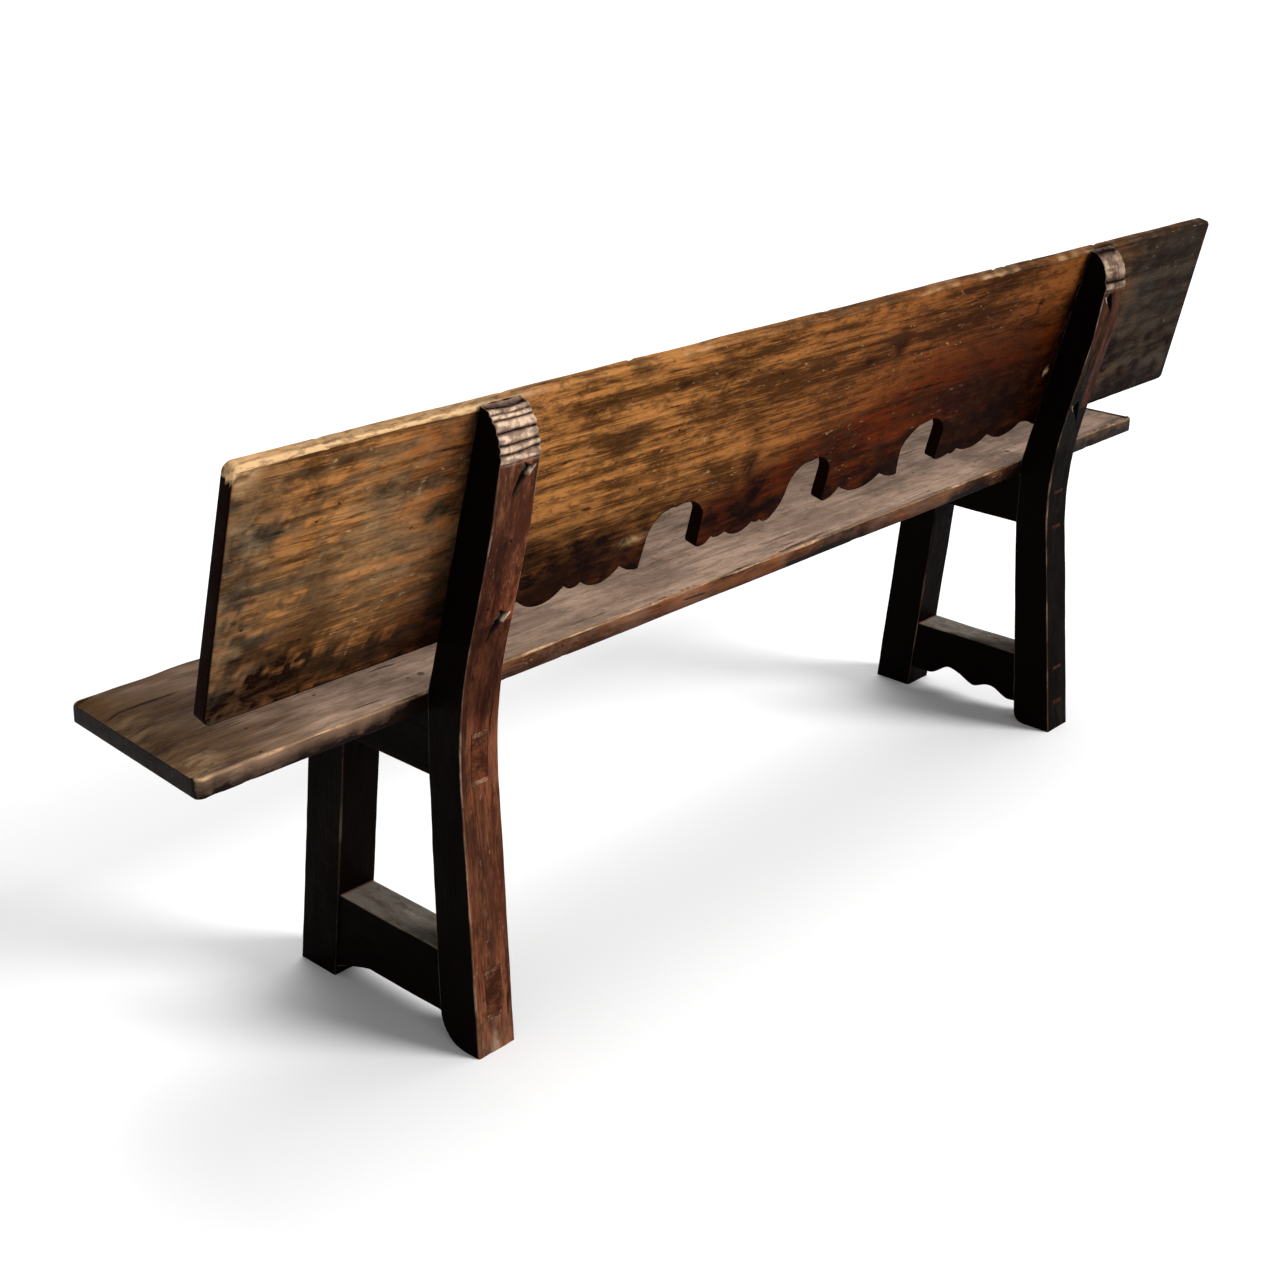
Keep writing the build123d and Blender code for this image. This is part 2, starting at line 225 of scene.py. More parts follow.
def drawn_in(radius, from_end):
    """How far a quarter circle draws in, at a distance from the end that it rounds."""
    return radius - np.sqrt(radius ** 2 - np.clip(radius - from_end, 0, radius) ** 2)


def beside_posts(right):
    """How far a place along the bench is clear of the nearer post's side, and less than 0 behind the post."""
    return np.abs(np.abs(right) - POST_MIDDLE) - HALF_UPRIGHT


def skin(name, rings, marks, material, node):
    """A closed mesh from rings of points: each ring joins the next with a band of quads, and the first
    and last rings are folded flat, so that welding closes the ends."""
    count, around = rings.shape[:2]
    index = np.arange(count * around).reshape(count, around)
    turned = np.roll(index, -1, axis=1)
    quads = np.stack([index[:-1], turned[:-1], turned[1:], index[1:]], -1).reshape(-1, 4)
    mesh = bpy.data.meshes.new(name)
    mesh.from_pydata(rings.reshape(-1, 3), [], quads)
    for mark, values in marks.items():
        layer = mesh.attributes.new(mark, "FLOAT", "POINT")
        spread = np.broadcast_to(np.clip(values, 0, 1), rings.shape[:2])
        layer.data.foreach_set("value", spread.astype(np.float32).ravel())
    welded = bmesh.new()
    welded.from_mesh(mesh)
    bmesh.ops.remove_doubles(welded, verts=welded.verts, dist=1e-6)
    bmesh.ops.recalc_face_normals(welded, faces=welded.faces)
    welded.to_mesh(mesh)
    welded.free()
    mesh.shade_smooth()
    mesh.set_sharp_from_angle(angle=radians(48))
    mesh.materials.append(material)
    piece = bpy.data.objects.new(name, mesh)
    bpy.context.scene.collection.objects.link(piece)
    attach(piece, "root")
    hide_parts(node)


def plank(low, high, thickness, rounds, rows, lead):
    """A plank as rings of (right, up, depth) points. A ring climbs the outer face from the low line to the
    high line, turns over the high edge, comes down the inner face and turns under the low edge. Each edge
    is a quarter circle of its own radius. A ring leans from its low point to its high point with the share
    1 - (1 - v) ** lead, and near the ends it draws in by a quarter circle in both the face and the depth."""
    turn = np.linspace(0, np.pi / 2, 5)
    face = np.linspace(0, 1, rows)
    flat, zero = np.zeros(rows), np.zeros(len(turn))
    # each loop point: its share up the face, its place on an edge's quarter circle, and whether it lies on
    # the inner half and on an edge
    share = np.concatenate([face, zero + 1, zero + 1, face[::-1], zero, zero])
    sink = np.concatenate([flat + 1, np.cos(turn), np.sin(turn)] * 2)
    rise = np.concatenate([flat, np.sin(turn), np.cos(turn)] * 2)
    inner = np.concatenate([flat, zero, zero + 1, flat + 1, zero + 1, zero])
    edge = np.concatenate([flat, zero + 1, zero + 1] * 2)
    outer_low, outer_high, inner_high, inner_low = (radius[:, None] for radius in rounds)
    at_high = np.where(inner > 0, inner_high, outer_high)
    at_low = np.where(inner > 0, inner_low, outer_low)
    radius = np.where(share == 1, at_high, np.where(share == 0, at_low, 0))

    from_end = np.minimum(low[:, 0] - low[0, 0], low[-1, 0] - low[:, 0])[:, None]
    corner = drawn_in(PLANK_CORNER, from_end)
    thin = drawn_in(END_ARRIS, from_end)

    height = np.linalg.norm(high - low, axis=1)[:, None]
    reach = (at_low + corner + share * (height - at_low - at_high - 2 * corner)) / height
    reach = reach + edge * np.where(share == 1, 1, -1) * radius * rise / height
    lean = 1 - (1 - np.clip(reach, 0, 1)) ** lead
    right = low[:, :1] + (high - low)[:, :1] * lean
    up = low[:, 1:] + (high - low)[:, 1:] * reach
    depth = thin + edge * radius * (1 - sink)
    depth = np.where(inner > 0, thickness - depth, depth)
    rings = np.stack([right, up, depth], -1)
    ends = rings[[0, -1]].copy()
    ends[..., 2] = thickness / 2
    rings = np.concatenate([ends[:1], rings, ends[1:]])
    from_end = np.concatenate([[[0.0]], from_end, [[0.0]]])
    arris = 2 * sink * rise * edge
    about = {"inner": inner, "edge": edge, "share": share, "from_end": from_end, "arris": arris}
    return rings, about


def carved_edge():
    """Lower edge of the back plank: straight ends, and between the posts groups of hanging lobes with an
    arch after each group but the last. Lobes and the two halves of an arch's crown are circle arcs. The
    hooked tongue after each arch is the same line blurred along itself, which rounds its tip."""
    widths = sum(lobe[0] for group in LOBES for lobe in group) + sum(width for width, lean in ARCHES)
    stretch = 2 * CARVED_HALF / widths
    here = np.array([-CARVED_HALF, BACK_LOW])
    line = [np.array([[-SEAT_HALF, BACK_LOW]]), here[None]]
    tips = []
    for number, group in enumerate(LOBES):
        for width, dip, rise in group:
            there = np.array([here[0] + width * stretch, BACK_LOW + rise])
            line.append(arc(here, ((here[0] + there[0]) / 2, BACK_LOW + dip), there))
            here = there
        if number < len(ARCHES):
            width, lean = ARCHES[number][0] * stretch, ARCHES[number][1]
            side = (here[0] + lean, BACK_LOW + ARCH_HEIGHT * 0.5)
            haunch = (here[0] + width * 0.13, BACK_LOW + ARCH_HEIGHT * 0.87)
            crown = (here[0] + width * 0.45, BACK_LOW + ARCH_HEIGHT)
            hance = (here[0] + width * 0.80, BACK_LOW + ARCH_HEIGHT * 0.94)
            neck = (here[0] + width * 0.98, BACK_LOW + ARCH_HEIGHT * 0.66)
            here = np.array([here[0] + width, BACK_LOW + TONGUE_DIP])
            tips.append(here - (0.004, 0))
            line += [arc(side, haunch, crown), arc(crown, hance, neck), tips[-1][None], here[None]]
    line.append(np.array([[BACK_RIGHT, BACK_LOW]]))
    line = evenly(np.concatenate(line), 0.0012)
    soft = np.stack([blurred(np.pad(line[:, axis], 15, "edge"), 4.5, 15) for axis in range(2)], 1)
    apart = np.min([np.linalg.norm(line - tip, axis=1) for tip in tips], axis=0)[:, None]
    return line + (soft - line) * np.exp(-(apart / 0.014) ** 4)


def near_ends(line):
    """The same line with extra points close to both ends, where a plank rounds off."""
    steps = np.array([0.0003, 0.001, 0.002, 0.003, 0.0045, 0.006, 0.008, 0.010, 0.012])[:, None]
    first = line[0] + (line[1] - line[0]) / np.linalg.norm(line[1] - line[0]) * steps
    last = line[-1] + (line[-2] - line[-1]) / np.linalg.norm(line[-2] - line[-1]) * steps[::-1]
    inside = (line[:, 0] > line[0, 0] + 0.013) & (line[:, 0] < line[-1, 0] - 0.013)
    return np.concatenate([line[:1], first, line[inside], last, line[-1:]])


def face_side(about):
    """The way into a plank's wood: 1 on its outer face, -1 on its inner one, 0 on its edges and ends."""
    return np.where(about["inner"] > 0, -1, 1) * (1 - about["edge"]) * smooth(0.004, 0.02, about["from_end"])


def end_grain(about):
    """1 on the faces of a plank's sawn ends."""
    return smooth(0.0024, 0.0008, about["from_end"])


def back_wear(rings, solid, about):
    """Wear and painted shade of the back, as sums of soft spots and ripples faded by the distance to its
    edges, ends and posts: bare wood on the rim, darker low down, painted shade on the carved lower edge
    and the end faces, a painted shadow of each post beside it, grey at the ends and red polish between."""
    face = rings[..., :2]
    right, up = face[..., 0], face[..., 1]
    above = up - BACK_LOW
    from_end = about["from_end"]
    end_face = end_grain(about)
    top_edge = (about["share"] == 1) & (about["edge"] > 0)
    low_edge = (about["share"] == 0) & (about["edge"] > 0)
    rear = about["inner"] == 0
    ragged = ripple(solid, (0.06, 0.02, 1), 14)
    flecks = ripple(solid, (0.018, 0.012, 1), 18)
    by_post = beside_posts(right)
    near_end = smooth(-0.55, -0.75, right)
    far_end = smooth(0.655, 0.70, right) * np.where(rear, 1.0, 0.25)
    strip = rear * (right < 0) * smooth(0.11, 0.02, from_end + 0.012 * ragged) * (1 - end_face)
    patches = rear * spots(face, BACK_PATCHES) * smooth(-1.5, 0.0, flecks)

    rim = top_edge * (0.45 + 0.55 * about["arris"] * rear)
    bare = rim * (0.06 + 0.85 * near_end + 0.3 * smooth(0.2, 1.4, ragged)) * (1 - 0.75 * far_end)
    by_corner = smooth(0.045, 0.004, from_end) * smooth(0.345, 0.378, up) * (right < 0)
    bare += 0.7 * rear * by_corner * smooth(-0.6, 0.8, flecks) * (1 - end_face)
    bare += rear * 0.6 * smooth(0.35, 0.6, spots(face, BACK_KNOT) * (0.75 + 0.25 * flecks))
    bare += rear * spots(face, BACK_CHAFES)
    bare += rear * near_end * 0.06 * smooth(-0.5, 1.2, flecks) * (1 - end_face) * smooth(0.13, 0.25, up)
    bare += strip * 0.11 * smooth(0.1, 1.3, ripple(solid, (0.030, 0.012, 1), 19)) * smooth(0.10, 0.16, up)

    # Darker towards the carved lower edge, unevenly, and in listed spots low down and towards the near end.
    low_mottle = smooth(-1.6, 0.8, ripple(solid, (0.16, 0.05, 1), 16)) * (1 - near_end * 0.4)
    soot_and_shade = 0.95 * smooth(0.060, 0.0, above) * low_mottle
    soot_and_shade += 0.55 * smooth(0.15, 0.02, above) * (1 - near_end) * smooth(-1.0, 0.8, ragged)
    # Painted shadow of each post on the back's rear face, wider further down.
    shaded = smooth(0.018 + 0.12 * np.clip(0.32 - up, 0, 1), -0.005, by_post) * (np.abs(right) < 0.80)
    soot_and_shade += rear * np.where((right < 0) & (right > -POST_MIDDLE), 0.5, 0.95) * shaded
    # Painted shade: the faces of the carved lower edge and the sawn end faces are darkened fully.
    soot_and_shade += low_edge + end_face
    soot_and_shade += 0.55 * smooth(0.05, 0.50, right) * smooth(0.70, 0.66, right) * (1 - 0.7 * smooth(0.24, 0.34, up))
    soot_and_shade += rear * spots(face, BACK_SHADOWS)
    soot_and_shade += rear * spots(face, BACK_STAINS) * smooth(-1.2, 0.4, flecks)
    soot_and_shade += rear * spots(face, BACK_LOW_DARKS) * smooth(-1.6, 0.6, flecks)
    soot_and_shade += far_end * (0.42 + 0.3 * smooth(-0.3, 1.2, ragged))
    soot_and_shade += 0.5 * patches + rear * spots(face, BACK_CORNER_DARKS) * smooth(-1.4, 0.6, flecks)
    full = (about["edge"] > 0) | (end_face > 0.3)
    soot_and_shade = np.where(full, soot_and_shade, np.minimum(soot_and_shade, 0.80 + 0.06 * ragged))
    soot_and_shade += rear * spots(face, BACK_BURN)

    grey = far_end * (0.45 + 0.55 * smooth(0.71, 0.88, right + 0.02 * ragged))
    grey += near_end * smooth(0.1, 1.3, ripple(solid, (0.09, 0.035, 1), 17)) * 0.5
    grey += 0.55 * patches + 0.4 * rear * near_end * smooth(0.16, 0.02, from_end) + 0.25 * strip

    red = smooth(-0.52, 0.36, right) * (1 - far_end) * (0.97 - 0.32 * smooth(0.22, 0.34, up))
    red += far_end * 0.5 * smooth(0.86, 0.74, right)
    lobes = smooth(0.10, 0.01, above - 0.07 * smooth(-0.55, 0.3, right))
    red += lobes * 0.8 * (1 - near_end * 0.5) * (1 - far_end)
    # Redder close beside the near post: the reddish edge of that painted post shadow.
    red += rear * near_end * 0.6 * smooth(0.16, 0.05, by_post)
    return {"bare": bare, "soot_and_shade": soot_and_shade, "grey": grey, "red": red}


def back_plank(material):
    """The back: rows of points from the carved edge up to a wavy, worn top edge. The top points follow the
    carved edge's points blurred along it, so that the rows open out smoothly above the lobes and arches."""
    low = near_ends(evenly(carved_edge(), 0.0036))
    padded = np.concatenate([2 * low[0, 0] - low[60:0:-1, 0], low[:, 0], 2 * low[-1, 0] - low[-2:-62:-1, 0]])
    right = blurred(padded, 15.0, 60)
    right = np.where(np.abs(low[:, 0]) > 0.86, low[:, 0], right)
    squeeze = (BACK_RIGHT - BACK_SKEW - CARVED_HALF) / (BACK_RIGHT - CARVED_HALF)
    right = np.where(right > CARVED_HALF, CARVED_HALF + (right - CARVED_HALF) * squeeze, right)
    along = low[:, :1]
    chips = smooth(1.5, 2.6, ripple(along, (0.03,), 4)) * 0.0018
    top = BACK_HIGH - 0.0008 + 0.0005 * np.clip(ripple(along, (0.6,), 3), -1.5, 1.5) - chips
    high = np.stack([right, top], 1)
    wear = 0.0042 + 0.0008 * np.clip(ripple(along, (0.14,), 5), -1.6, 1.6)
    fine = 0.0014 + 0.0003 * np.clip(ripple(along, (0.03,), 6), -1.5, 1.5)
    lead = 1 + 5 * smooth(0.86, 0.72, np.abs(low[:, :1]))
    rings, about = plank(low, high, BACK_THICKNESS, (fine, wear * 1.2, wear, fine), 46, lead)

    solid = rings * (1, 1, 12)
    hollow = 0.35 + 0.3 * ripple(solid, (0.30, 0.05, 1), 11) + 0.15 * ripple(solid, (0.06, 0.025, 1), 12)
    dents = smooth(1.6, 2.8, ripple(solid, (0.022, 0.010, 1), 13))
    rings[..., 2] += face_side(about) * 0.0008 * (np.clip(hollow, 0, 1.2) + dents)
    marks = back_wear(rings, solid, about)

    right, up, depth = np.moveaxis(rings, -1, 0)
    spread = np.stack(
        [
            MIDDLE - right,
            SEAT_REAR + up * sin(BACK_TILT) - depth * cos(BACK_TILT),
            SEAT_TOP + up * cos(BACK_TILT) + depth * sin(BACK_TILT),
        ],
        -1,
    )
    skin("worn_back_plank", spread, marks, material, "back_plank")


def seat_plank(material):
    """The seat: rows of points from the rear edge to the front edge, hollowed a little by sitting."""
    ends = np.array([[-SEAT_HALF, 0.0], [SEAT_HALF, 0.0]])
    low = near_ends(evenly(ends, 0.006))
    skew = SEAT_SKEW * smooth(SEAT_HALF, -SEAT_HALF, low[:, 0])
    along = low[:, :1]
    nibble = smooth(1.4, 2.4, ripple(along, (0.04,), 21)) * 0.0014
    low[:, 1] = 0.0006 + 0.0004 * np.clip(ripple(along, (0.25,), 22), -1, 1) + nibble
    high = np.stack([low[:, 0] + skew, np.full(len(low), SEAT_DEPTH - 0.0012)], 1)
    wear = 0.0030 + 0.0010 * np.clip(ripple(along, (0.10,), 23), -1.5, 1.5)
    under = np.full(len(low), 0.0020)
    rings, about = plank(low, high, SEAT_THICKNESS, (wear, wear * 1.7, under, under), 46, 1.0)

    solid = rings * (1, 1, 8)
    hollow = 0.25 + 0.25 * ripple(solid, (0.5, 0.09, 1), 24) + 0.15 * ripple(solid, (0.08, 0.03, 1), 25)
    rings[..., 2] += face_side(about) * 0.0008 * np.clip(hollow, 0, 0.9)
    outer = (about["inner"] == 0) & (about["edge"] == 0)
    from_end = about["from_end"]
    rings[..., 2] += outer * 0.0045 * smooth(0.030, 0.003, from_end) * smooth(0.0, 0.003, from_end)

    right, forward, depth = np.moveaxis(rings, -1, 0)
    rim = (about["edge"] > 0) & (about["inner"] == 0)
    end_face = end_grain(about)
    ragged = ripple(solid, (0.08, 0.02, 1), 26)
    left_end = smooth(-0.93, -1.01, right)
    near_edge = (1 - outer) * smooth(-0.60, -0.74, right)
    bare = about["arris"] * rim * (0.3 + 0.5 * smooth(-0.4, 1.2, ragged))
    bare = (bare + outer * left_end * 0.25 * smooth(-0.3, 1.2, ragged)) * (1 - end_face)
    # Grey on the top face: weathering, and in part a painted sheen of the light from above.
    grey = outer * (0.06 + 0.94 * smooth(-0.97, -0.74, right + 0.03 * ragged)) * (1 - 0.6 * left_end)
    grey += (1 - outer) * 0.15 * smooth(0.2, 1.4, ripple(solid, (0.12, 1, 1), 28)) + 0.40 * near_edge
    # Painted shade: the underside and the sawn end faces are darkened.
    soot_and_shade = (about["inner"] > 0) * 0.6 + end_face
    soot_and_shade += outer * 0.35 * smooth(1.0, 2.2, ripple(solid, (0.2, 0.02, 1), 27))
    # Painted shadow of each post on the seat's edges and underside beside it.
    soot_and_shade += (1 - outer) * 0.75 * smooth(0.09, 0.0, beside_posts(right))
    soot_and_shade += outer * 0.35 * smooth(0.10, 0.02, from_end) * smooth(0.2, 1.2, ragged)
    soot_and_shade += (1 - outer) * 0.6 * smooth(0.0, 2.0, ripple(solid, (0.09, 0.012, 1), 29)) * (1 - 0.8 * near_edge)
    soot_and_shade += smooth(0.70, 0.80, right) * np.where(outer, 0.25, 0.6)
    soot_and_shade += near_edge * (0.20 + 0.26 * smooth(-0.6, 1.0, ripple(solid, (0.03, 0.012, 1), 30)))
    red = (1 - outer) * 0.85 * smooth(0.82, 0.68, right) - 0.6 * near_edge
    marks = {"bare": bare, "soot_and_shade": soot_and_shade, "grey": grey, "red": red}
    spread = np.stack([MIDDLE - right, SEAT_REAR - forward, SEAT_TOP - depth], -1)
    skin("worn_seat_plank", spread, marks, material, "seat_plank")


def on_slope(along, behind):
    """Side-view point at a place up the back's slope and behind the posts' front faces."""
    return np.array([
        along * sin(BACK_TILT) + behind * cos(BACK_TILT),
        SEAT_TOP + along * cos(BACK_TILT) - behind * sin(BACK_TILT),
    ])


def post_rear(side):
    """Rear line of a post from heel to top, as (behind, height, reed): straight heel, rounded knee, slope,
    taper, reeded scroll and land. reed swings from 0 in the groove beside a reed to 1 on its crown."""
    scroll_top = on_slope(BACK_HIGH, POST_LAND)
    scroll_foot = on_slope(BACK_HIGH - SCROLL_HEIGHT, SCROLL_DEPTH)
    scroll_middle = on_slope(
        BACK_HIGH - SCROLL_HEIGHT / 2 + SCROLL_SWELL, (POST_LAND + SCROLL_DEPTH) / 2 + SCROLL_SWELL
    )
    taper_foot = on_slope(BACK_HIGH - SCROLL_HEIGHT - SCROLL_TAPER, POST_DEPTH)
    knee = np.array([POST_DEPTH / cos(BACK_TILT) - KNEE_DROP * tan(BACK_TILT), SEAT_TOP - KNEE_DROP])
    heel = np.array([FOOT_REACH[side], 0.0])
    plain = np.concatenate([
        heel[None],
        rounded(heel, knee, taper_foot, KNEE_RADIUS),
        rounded(knee, taper_foot, scroll_foot, KNEE_RADIUS / 2),
        scroll_foot[None],
    ])
    scroll = evenly(arc(scroll_foot, scroll_middle, scroll_top, 0.0003), 0.0002)
    cuts = np.cumsum((0,) + REEDS[side][::-1]) / sum(REEDS[side])
    place = np.linspace(0, 1, len(scroll))
    reed = np.clip(np.searchsorted(cuts, place, "right") - 1, 0, len(REEDS[side]) - 1)
    phase = (place - cuts[reed]) / (cuts[reed + 1] - cuts[reed])
    crown = 4 * phase * (1 - phase)
    ahead = np.gradient(scroll, axis=0)
    outward = np.stack([ahead[:, 1], -ahead[:, 0]], 1) / np.linalg.norm(ahead, axis=1)[:, None]
    scroll = scroll + outward * (REED_SWELL * (crown - 0.35))[:, None]
    top = on_slope(BACK_HIGH, 0.0)
    line = np.concatenate([plain, scroll, top[None]])
    reeds = np.concatenate([np.full(len(plain), 0.6), crown, [0.55]])
    return line, reeds


def post_front(side):
    """Front line of a post from the floor up: rounded toe, straight run to the bearer, upright, slope."""
    foot = np.array([FOOT_REACH[side] - FOOT_DEPTH, 0.0])
    bearer = np.array([0.0, BEARER_BOTTOM])
    toe = rounded((FOOT_REACH[side], 0.0), foot, bearer, TOE[side])
    return np.concatenate([toe, bearer[None], [[0.0, SEAT_TOP]], on_slope(BACK_HIGH, 0.0)[None]])


def leg_rear(height):
    """Where a front leg's rear face stands at a height."""
    return LEG_INSET + LEG_DEPTH - SEAT_DEPTH + height * tan(LEG_SPLAY)


def upright_loop():
    """One turn round a post or leg: (bx, bd) on the section's core, from -1 to 1 across and 0 to 1 from
    rear to front, and the direction (ux, ud) in which its rounded corner stands out from the core."""
    across = np.concatenate([np.linspace(-1, 1, 55), [-0.432, -0.418, -0.405, 0.405, 0.418, 0.432]])
    across = np.unique(np.round(across, 4))
    through = np.linspace(0, 1, 15)
    turn = np.linspace(0, np.pi / 2, 6)[1:-1]
    bx, bd, ux, ud = [], [], [], []
    for face in range(4):
        rear_or_front = face % 2 == 0
        run = across if rear_or_front else through
        flip = 1 if face < 2 else -1
        zero = np.zeros(len(run))
        bx.append(run * flip if rear_or_front else zero + flip)
        bd.append(zero + (face == 2) if rear_or_front else (run if face == 1 else 1 - run))
        ux.append(zero if rear_or_front else zero + flip)
        ud.append(zero + flip if rear_or_front else zero)
        start = np.array([[0, 1], [1, 0], [0, -1], [-1, 0]])[face]
        finish = np.array([[1, 0], [0, -1], [-1, 0], [0, 1]])[face]
        bend = np.cos(turn)[:, None] * start + np.sin(turn)[:, None] * finish
        bx.append(np.full(len(turn), 1 if face in (0, 1) else -1))
        bd.append(np.full(len(turn), 1 if face in (1, 2) else 0))
        ux.append(bend[:, 0])
        ud.append(bend[:, 1])
    return tuple(np.concatenate(part).astype(float) for part in (bx, bd, ux, ud))


def socket_heights():
    """Heights just inside and outside each tenon's mortise, so that its rim is crisp."""
    rims = []
    for low in TENONS.values():
        for rim in (low - WEDGE_HEAD, low + TENON_HEIGHT + WEDGE_HEAD):
            rims += [rim - 0.0009, rim - 0.0003, rim + 0.0003, rim + 0.0009]
    return rims


def in_socket(x, height):
    """1 inside the mortises of the rails' tenons and their wedges, on a post's rear or a leg's front."""
    inside = np.zeros(np.broadcast(x, height).shape)
    for low in TENONS.values():
        middle = low + TENON_HEIGHT / 2
        within = smooth(0.0003, -0.0003, np.abs(height - middle) - TENON_HEIGHT / 2 - WEDGE_HEAD)
        inside = np.maximum(inside, within * smooth(0.0003, -0.0003, np.abs(x) - TENON_HALF - 0.0002))
    return inside


def upright(is_post, side, heights, front, rear, reed, seed, marks_of, gouge):
    """A post or leg as level rings: a rounded rectangle between the front and rear lines at each height,
    worn inward by smooth relief, with its ends folded flat."""
    bx, bd, ux, ud = upright_loop()
    level = heights[:, None]
    along = np.stack([heights, heights * 0 + seed], 1)
    radius = 0.0023 + 0.0005 * np.clip(ripple(along, (0.12, 1.0), seed), -1.6, 1.6)
    room = rear - front
    radius = np.minimum(radius, 0.45 * room + 1e-5)[:, None]
    x = bx * (HALF_UPRIGHT - radius) + ux * radius
    deep = (rear[:, None] - radius) - bd * (room[:, None] - 2 * radius)
    y = deep + ud * radius
    place = np.stack(np.broadcast_arrays(x, y, level), -1)
    hollow = 0.3 + 0.25 * ripple(place, (0.04, 0.04, 0.20), seed + 1)
    hollow = hollow + 0.2 * ripple(place, (0.02, 0.02, 0.04), seed + 2)
    sink = 0.0007 * np.clip(hollow, 0, 1.1) * smooth(0.0, 0.012, room)[:, None]
    reed = np.broadcast_to(reed[:, None], x.shape)
    if is_post:
        scroll = smooth(*SCROLL_START, level) * np.clip(ud, 0, 1)
        waver = level + 0.0010 * scroll * ripple(place[..., [0, 2]], (0.035, 0.025), seed + 9)
        reed = np.interp(waver, heights, reed[:, 0])
        chips = np.clip(ripple(place, (0.016, 0.03, 0.007), seed + 3), 0, 1.6)
        sink = sink + scroll * np.clip(rear[:, None] - np.interp(waver, heights, rear), -0.0002, 0.004)
        sink = sink + 0.0009 * chips * scroll
    x = x - ux * sink
    y = y - ud * sink
    faced = np.clip(ud if is_post else -ud, 0, 1) * (np.abs(ux) < 0.01)
    socket = faced * in_socket(x, level)
    cut, painted_glint = (faced * part for part in gouge(x, level))
    y = y - ud * (0.004 * socket + cut)
    rings = np.stack(np.broadcast_arrays(x, y, level), -1).copy()
    marks = marks_of(rings, ux, ud, reed, cut, painted_glint, socket)
    ends = rings[[0, -1]].copy()
    ends[0, :, 1] = (rings[0, :, 1].min() + rings[0, :, 1].max()) / 2
    rings = np.concatenate([ends[:1], rings, ends[1:]])
    rings[..., 0] += TRESTLE[side]
    rings[..., 1] += SEAT_REAR
    marks = {key: np.concatenate([value[:1], value, value[-1:]]) for key, value in marks.items()}
    return rings, marks


def pockets(side):
    """Gouged nail pockets on a post's rear face, as their depth and a painted glint along the rim near each
    pocket's top: under each nail a tapering half cone that leans outward as it runs down from a steep wall."""
    outward = 1 if side == "left" else -1

    def scoops(x, height):
        total = np.zeros(np.broadcast(x, height).shape)
        painted_glint = np.zeros(np.broadcast(x, height).shape)
        for row in BACK_NAIL_ROWS:
            nail = (-outward * BACK_NAIL_INSET, on_slope(row, POST_DEPTH)[1])
            right, down = x - nail[0], (nail[1] - height) / cos(BACK_TILT)
            run = right * outward * np.cos(POCKET_ANGLE) + down * np.sin(POCKET_ANGLE) + POCKET_WALL
            off = -right * outward * np.sin(POCKET_ANGLE) + down * np.cos(POCKET_ANGLE)
            taper = POCKET_RADIUS + (POCKET_TAIL - POCKET_RADIUS) * run / POCKET_LENGTH
            bowl = np.sqrt(np.clip(taper ** 2 - off ** 2, 0, None))
            total = np.maximum(total, bowl * smooth(-0.0008, 0.0008, run) * (run < POCKET_LENGTH))
            # Painted highlight: a bright glint on the rim near the pocket's top, and a faint pale line along
            # the rim.
            rim = np.exp(-((off - taper) / 0.0012) ** 2) * smooth(-0.006, 0.0, run)
            painted_glint += rim * (0.03 * smooth(1.0, 0.7, run / POCKET_LENGTH) + 1.2 * smooth(0.013, 0.007, run))
        return total, painted_glint

    return scoops


